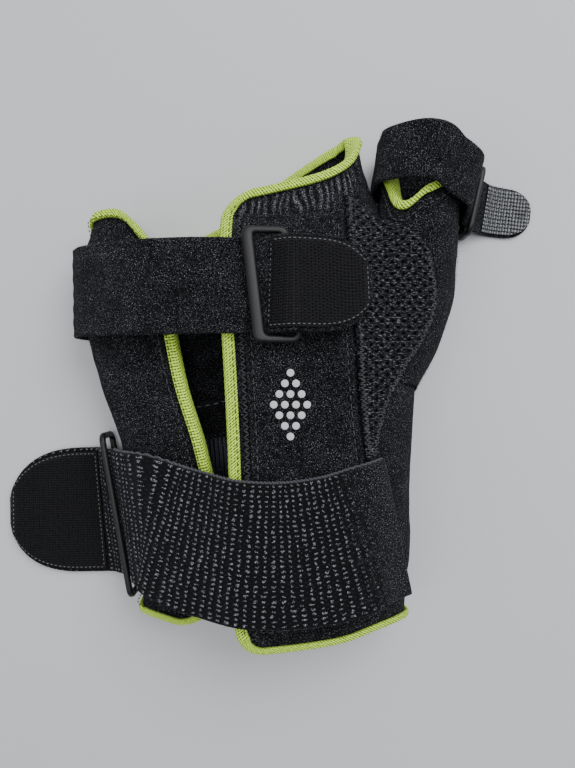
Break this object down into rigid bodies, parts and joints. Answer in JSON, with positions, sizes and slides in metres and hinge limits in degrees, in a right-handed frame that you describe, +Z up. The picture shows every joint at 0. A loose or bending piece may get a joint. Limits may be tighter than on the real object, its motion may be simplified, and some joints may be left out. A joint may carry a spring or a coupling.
{
  "type": "thumb spica splint",
  "caption": "Soft wrist and thumb splint lying on its back: open-fronted padded wrap with bound edges, thumb sheath, mesh inset and hook-and-loop straps led through moulded rings.",
  "frame": {"origin": "under the middle of the whole splint, on the surface it lies on", "axes": "+X across the hand towards the thumb, +Y along the hand towards the fingers, +Z up from the surface through the open front"},
  "size_m": [0.2098, 0.1892, 0.0481],
  "materials": {
    "plush_laminate": "black brushed loop fabric on thin foam",
    "spacer_mesh": "charcoal open spacer mesh",
    "knitted_elastic": "black ribbed elastic with pale flecks",
    "hook_tape": "black moulded hooks",
    "knitted_binding": "lime green knitted binding",
    "moulded_nylon": "satin black moulded plastic"
  },
  "bodies": {
    "root": {"wrap": "plush_laminate", "thumb_sheath": "plush_laminate", "wrap_binding": "knitted_binding", "thumb_binding": "knitted_binding", "mesh_panel": "spacer_mesh", "stay_pocket": "plush_laminate", "palm_strap": "plush_laminate", "palm_hook_patch": "hook_tape", "palm_ring": "moulded_nylon", "palm_ring_keeper": "plush_laminate", "forearm_strap": "knitted_elastic", "forearm_hook_patch": "hook_tape", "forearm_ring": "moulded_nylon", "forearm_ring_keeper": "plush_laminate", "thumb_strap": "plush_laminate", "thumb_hook_patch": "hook_tape", "thumb_ring": "moulded_nylon", "thumb_ring_keeper": "plush_laminate"}
  },
  "joints": []
}
